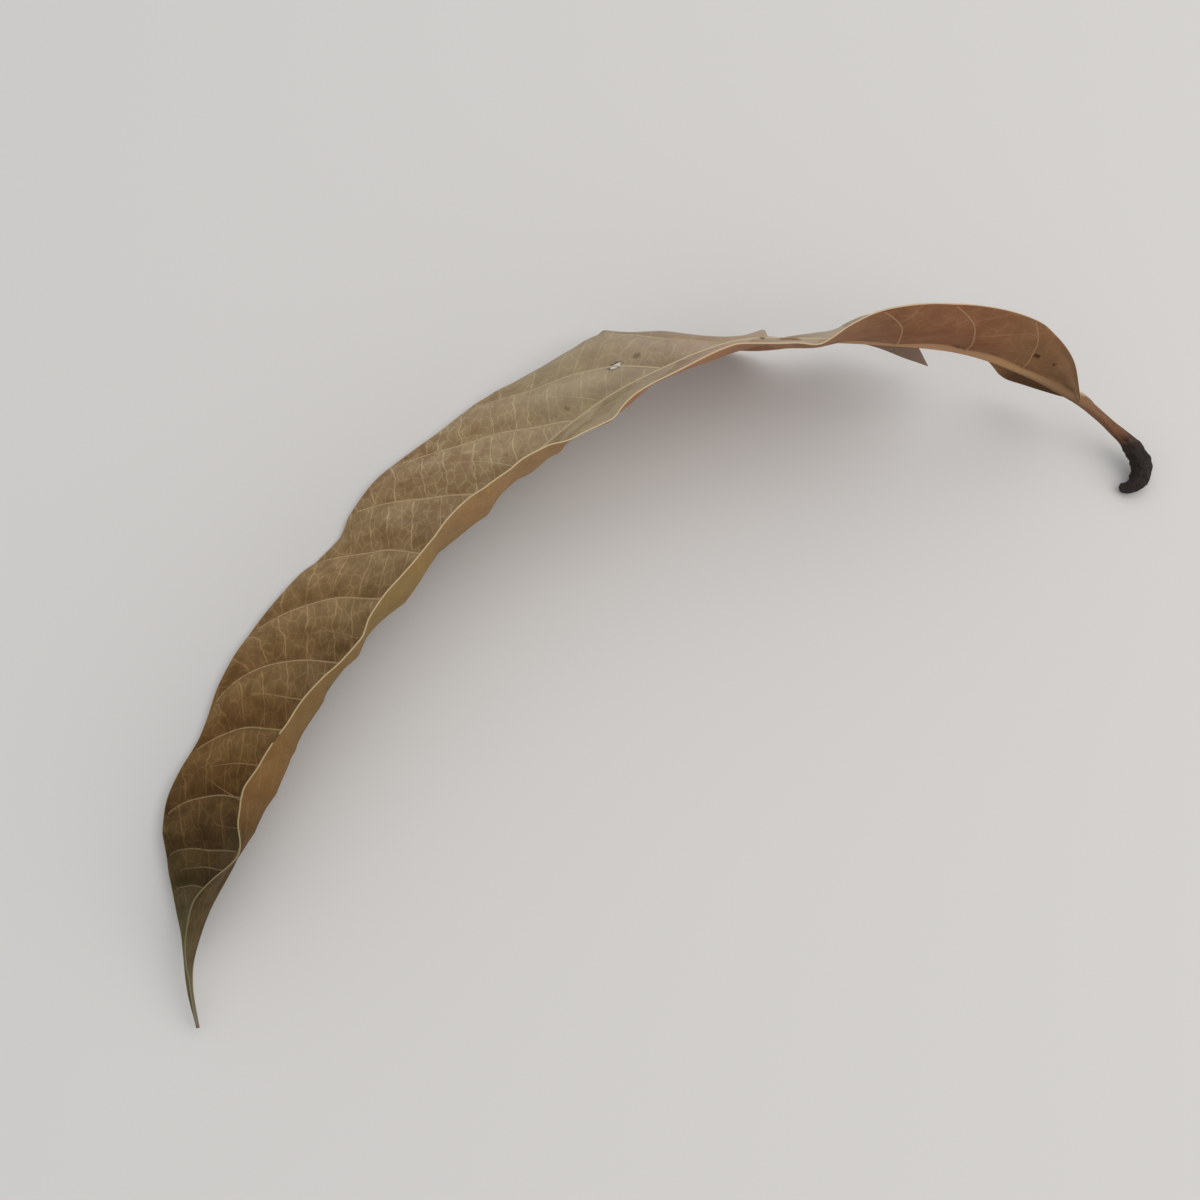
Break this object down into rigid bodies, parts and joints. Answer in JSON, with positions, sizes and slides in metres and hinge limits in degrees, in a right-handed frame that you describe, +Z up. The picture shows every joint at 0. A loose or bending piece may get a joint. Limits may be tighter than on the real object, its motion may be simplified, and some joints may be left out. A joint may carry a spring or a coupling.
{
  "type": "dried mango leaf",
  "caption": "Long dried leaf with a wavy margin, folded along its midrib, twisted and arched, with a hooked stalk; lies on a surface as natural dressing.",
  "frame": {"origin": "on the surface the leaf lies on, under the middle of its box", "axes": "+X from the drip tip's side towards the stalk, +Y from the open side of the arch towards its back, +Z up"},
  "size_m": [0.1874, 0.1394, 0.0369],
  "materials": {
    "blade": "dry, leathery and slightly waxy, olive and khaki above, pinkish brown below",
    "stalk": "dry and matt, reddish brown turning black at the wrinkled end"
  },
  "bodies": {
    "root": {"blade": "blade", "stalk": "stalk"}
  },
  "joints": []
}
